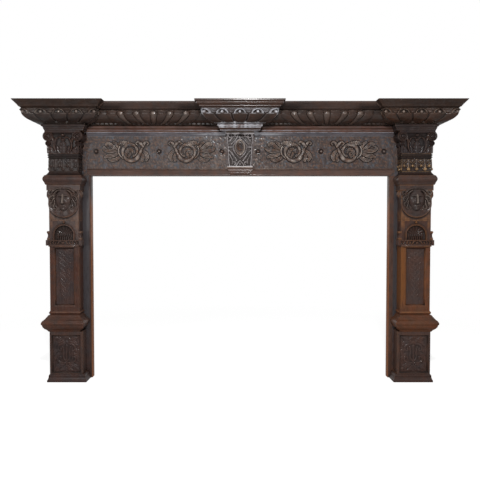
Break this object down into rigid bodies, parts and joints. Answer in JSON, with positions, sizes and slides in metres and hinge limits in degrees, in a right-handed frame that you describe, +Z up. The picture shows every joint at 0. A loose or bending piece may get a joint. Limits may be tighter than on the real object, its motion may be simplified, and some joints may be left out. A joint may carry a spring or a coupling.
{
  "type": "fireplace surround",
  "caption": "Carved oak fireplace surround with a breakfront shelf over a gadrooned cornice, a scroll-carved frieze and masked pilasters on pedestals round an open hearth.",
  "frame": {"origin": "on the floor, at the middle of the width and of the depth from the shelf's front edge to the wall face", "axes": "+X along the shelf to the right as seen from the room, +Y towards the wall, +Z up"},
  "size_m": [2.06, 0.24, 1.317],
  "materials": {
    "dark_oak": "dark stained and waxed oak, rubbed on its edges",
    "carved_oak": "carved oak, dark wax in the hollows and a shine on the high parts",
    "moulded_oak": "moulded oak, dark wax with a low sheen",
    "inner_oak": "unfinished oak",
    "fixing_steel": "dull zinc plate"
  },
  "bodies": {
    "root": {"shelf_board": "moulded_oak", "shelf_block_left": "moulded_oak", "shelf_block_centre": "moulded_oak", "shelf_block_right": "moulded_oak", "gadroon_end_left": "carved_oak", "gadroon_run_left": "carved_oak", "gadroon_centre": "carved_oak", "gadroon_run_right": "carved_oak", "gadroon_end_right": "carved_oak", "bed_moulding_left": "moulded_oak", "bed_moulding_frieze": "moulded_oak", "bed_moulding_right": "moulded_oak", "cornice_rail": "inner_oak", "cornice_centre_block": "inner_oak", "frieze_board": "dark_oak", "frieze_top_moulding": "moulded_oak", "frieze_lower_moulding": "moulded_oak", "frieze_bosses": "carved_oak", "scroll_outer_left": "carved_oak", "scroll_inner_left": "carved_oak", "scroll_inner_right": "carved_oak", "scroll_outer_right": "carved_oak", "centre_tablet": "carved_oak", "tablet_cartouche": "carved_oak", "tablet_corbel": "carved_oak", "hanger_plates": "fixing_steel", "hanger_screws": "fixing_steel", "leg_post_left": "inner_oak", "leg_post_right": "inner_oak", "jamb_board_left": "dark_oak", "jamb_board_right": "dark_oak", "plinth_moulding_left": "dark_oak", "plinth_moulding_right": "dark_oak", "pedestal_frame_left": "dark_oak", "pedestal_frame_right": "dark_oak", "pedestal_panel_left": "carved_oak", "pedestal_panel_right": "carved_oak", "pedestal_cap_left": "dark_oak", "pedestal_cap_right": "dark_oak", "shaft_base_left": "dark_oak", "shaft_base_right": "dark_oak", "shaft_frame_left": "dark_oak", "shaft_frame_right": "dark_oak", "shaft_panel_left": "carved_oak", "shaft_panel_right": "carved_oak", "niche_left": "carved_oak", "niche_right": "carved_oak", "balcony_left": "carved_oak", "balcony_right": "carved_oak", "mask_block_left": "carved_oak", "mask_block_right": "carved_oak", "mask_left": "carved_oak", "mask_right": "carved_oak", "impost_left": "dark_oak", "impost_right": "dark_oak", "leaf_block_left": "carved_oak", "leaf_block_right": "carved_oak", "capital_left": "carved_oak", "capital_right": "carved_oak"}
  },
  "joints": []
}
